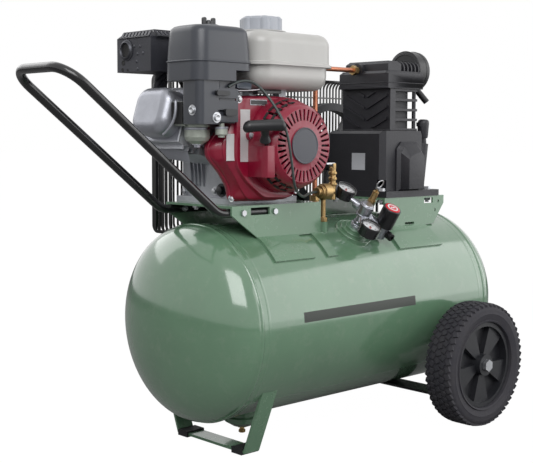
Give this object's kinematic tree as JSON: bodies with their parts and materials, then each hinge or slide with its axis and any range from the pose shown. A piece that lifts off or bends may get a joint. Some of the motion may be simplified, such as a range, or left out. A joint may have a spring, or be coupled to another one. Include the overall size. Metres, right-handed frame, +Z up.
{
  "type": "air compressor",
  "caption": "Portable wheeled air compressor: a petrol engine drives a two-cylinder pump by belt above a lying green tank, with a bent tube handle, gauges and a wire belt guard.",
  "frame": {"origin": "on the ground under the middle of the whole object", "axes": "+X from the handle to the wheels, -Y the side with the gauges and the starter, +Z up"},
  "size_m": [1.035, 0.5466, 0.7793],
  "materials": {
    "tank_paint": "gloss sage green",
    "frame_paint": "gloss sage green",
    "black_paint": "satin black",
    "red_paint": "gloss crimson",
    "tank_cream": "gloss warm grey",
    "dark_plastic": "satin charcoal",
    "black_plastic": "matt black",
    "knob_red": "red",
    "tyre_rubber": "moulded tread",
    "soft_rubber": "matt",
    "cast_alloy": "as cast",
    "black_iron": "painted black",
    "steel": "machined",
    "zinc": "plated",
    "brass": "satin",
    "copper": "drawn copper",
    "gauge_metal": "black with a glass front"
  },
  "bodies": {
    "frame": {"air_cleaner_base": "dark_plastic", "air_cleaner_cover": "dark_plastic", "axle_bracket": "black_paint", "belt_guard": "black_paint", "brass_fittings": "brass", "carburettor": "cast_alloy", "crankcase": "cast_alloy", "cylinder_head": "cast_alloy", "discharge_tube": "copper", "engine_platform": "frame_paint", "fan_cover": "red_paint", "foot_caps": "soft_rubber", "frame_bolts": "zinc", "front_foot": "frame_paint", "fuel_tank": "tank_cream", "gauge_cases": "gauge_metal", "handle": "black_paint", "ignition_lead": "soft_rubber", "intake_filter": "black_plastic", "muffler": "black_paint", "outlet_coupler": "black_paint", "pilot_valve": "brass", "pump_crankcase": "black_iron", "pump_cylinders": "black_iron", "pump_head": "black_iron", "pump_platform": "frame_paint", "recoil_housing": "red_paint", "regulator_body": "zinc", "rocker_cover": "cast_alloy", "safety_valve": "brass", "tank_bosses": "tank_paint", "tank_heads": "tank_paint", "tank_shell": "tank_paint", "throttle_cable": "soft_rubber", "v_belt": "soft_rubber"},
    "right_wheel": {"right_tyre": "tyre_rubber", "right_rim": "black_plastic"},
    "left_wheel": {"left_tyre": "tyre_rubber", "left_rim": "black_plastic"},
    "pump_shaft": {"pump_crankshaft": "steel", "pump_flywheel": "black_iron"},
    "engine_shaft": {"engine_crankshaft": "steel", "flywheel_fan": "cast_alloy", "engine_pulley": "black_iron"},
    "engine_piston": {"engine_piston": "cast_alloy"},
    "front_piston": {"pump_piston_front": "cast_alloy"},
    "rear_piston": {"pump_piston_rear": "cast_alloy"},
    "starter_grip": {"recoil_handle": "black_plastic", "recoil_rope": "soft_rubber"},
    "starter_reel": {"recoil_reel": "black_plastic"},
    "fuel_cap": {"fuel_cap": "zinc"},
    "wing_nut": {"wing_nut": "black_plastic"},
    "regulator_knob": {"regulator_knob": "black_plastic"},
    "pilot_lever": {"pilot_lever": "zinc"},
    "safety_ring": {"safety_ring": "steel"},
    "drain_knob": {"drain_knob": "brass"},
    "choke_lever": {"choke_lever": "black_plastic"},
    "fuel_lever": {"fuel_lever": "black_plastic"},
    "tank_needle": {"tank_needle": "knob_red"},
    "line_needle": {"line_needle": "knob_red"}
  },
  "joints": [
    {"name": "right_wheel_spin", "type": "hinge", "parent": "frame", "child": "right_wheel", "pos_m": [0.3165, -0.238, 0.121], "axis": [0, 1, 0], "continuous": true},
    {"name": "left_wheel_spin", "type": "hinge", "parent": "frame", "child": "left_wheel", "pos_m": [0.3165, 0.238, 0.121], "axis": [0, 1, 0], "continuous": true},
    {"name": "pump_spin", "type": "hinge", "parent": "frame", "child": "pump_shaft", "pos_m": [0.2825, 0.13, 0.515], "axis": [0, 1, 0], "continuous": true},
    {"name": "engine_spin", "type": "hinge", "parent": "frame", "child": "engine_shaft", "pos_m": [-0.0675, 0.13, 0.547], "axis": [0, 1, 0], "continuous": true},
    {"name": "engine_piston_slide", "type": "slide", "parent": "frame", "child": "engine_piston", "axis": [-0.9563, 0, 0.2924], "range_m": [0, 0.045]},
    {"name": "front_piston_slide", "type": "slide", "parent": "frame", "child": "front_piston", "axis": [0, 0, 1], "range_m": [-0.019, 0.019]},
    {"name": "rear_piston_slide", "type": "slide", "parent": "frame", "child": "rear_piston", "axis": [0, 0, 1], "range_m": [-0.019, 0.019]},
    {"name": "starter_pull", "type": "slide", "parent": "frame", "child": "starter_grip", "axis": [-0.4269, -0.4044, 0.8088], "range_m": [0, 0.5], "stiffness_N_per_m": 12, "springref_m": -0.15},
    {"name": "starter_reel_spin", "type": "hinge", "parent": "frame", "child": "starter_reel", "pos_m": [-0.0675, -0.111, 0.547], "axis": [0, 1, 0], "range_deg": [0, 720]},
    {"name": "fuel_cap_turn", "type": "hinge", "parent": "frame", "child": "fuel_cap", "pos_m": [-0.0515, -0.015, 0.748], "axis": [0, 0, 1], "range_deg": [0, 90]},
    {"name": "wing_nut_turn", "type": "hinge", "parent": "frame", "child": "wing_nut", "pos_m": [-0.2075, -0.053, 0.743], "axis": [0, 0, 1], "range_deg": [0, 1080]},
    {"name": "regulator_knob_turn", "type": "hinge", "parent": "frame", "child": "regulator_knob", "pos_m": [0.1635, -0.13139, 0.39409], "axis": [0, -0.5373, 0.8434], "range_deg": [-720, 720]},
    {"name": "pilot_lever_flip", "type": "hinge", "parent": "frame", "child": "pilot_lever", "pos_m": [0.0745, -0.08, 0.51001], "axis": [0, 1, 0], "range_deg": [0, 90]},
    {"name": "safety_ring_pull", "type": "slide", "parent": "frame", "child": "safety_ring", "axis": [0, -0.5373, 0.8434], "range_m": [0, 0.003], "stiffness_N_per_m": 500, "springref_m": -0.002},
    {"name": "drain_knob_turn", "type": "hinge", "parent": "frame", "child": "drain_knob", "pos_m": [-0.0825, 0, 0.0145], "axis": [0, 0, 1], "range_deg": [0, 720]},
    {"name": "choke_lever_turn", "type": "hinge", "parent": "frame", "child": "choke_lever", "pos_m": [-0.2085, -0.1018, 0.635], "axis": [0, 1, 0], "range_deg": [-40, 0]},
    {"name": "fuel_lever_turn", "type": "hinge", "parent": "frame", "child": "fuel_lever", "pos_m": [-0.2085, -0.1018, 0.603], "axis": [0, 1, 0], "range_deg": [0, 50]},
    {"name": "tank_needle_turn", "type": "hinge", "parent": "frame", "child": "tank_needle", "pos_m": [0.1045, -0.08725, 0.46253], "axis": [0, -0.5373, 0.8434], "range_deg": [-270, 0], "stiffness_Nm_per_rad": 0.0005},
    {"name": "line_needle_turn", "type": "hinge", "parent": "frame", "child": "line_needle", "pos_m": [0.103, -0.15079, 0.39477], "axis": [0, -0.5373, 0.8434], "range_deg": [-270, 0], "stiffness_Nm_per_rad": 0.0005}
  ],
  "couplings": [
    {"joint": "engine_spin", "follows": "pump_spin", "ratio": 4.2222},
    {"joint": "rear_piston_slide", "follows": "front_piston_slide", "ratio": -1},
    {"joint": "starter_reel_spin", "follows": "starter_pull", "rad_per_m": 23.809}
  ]
}
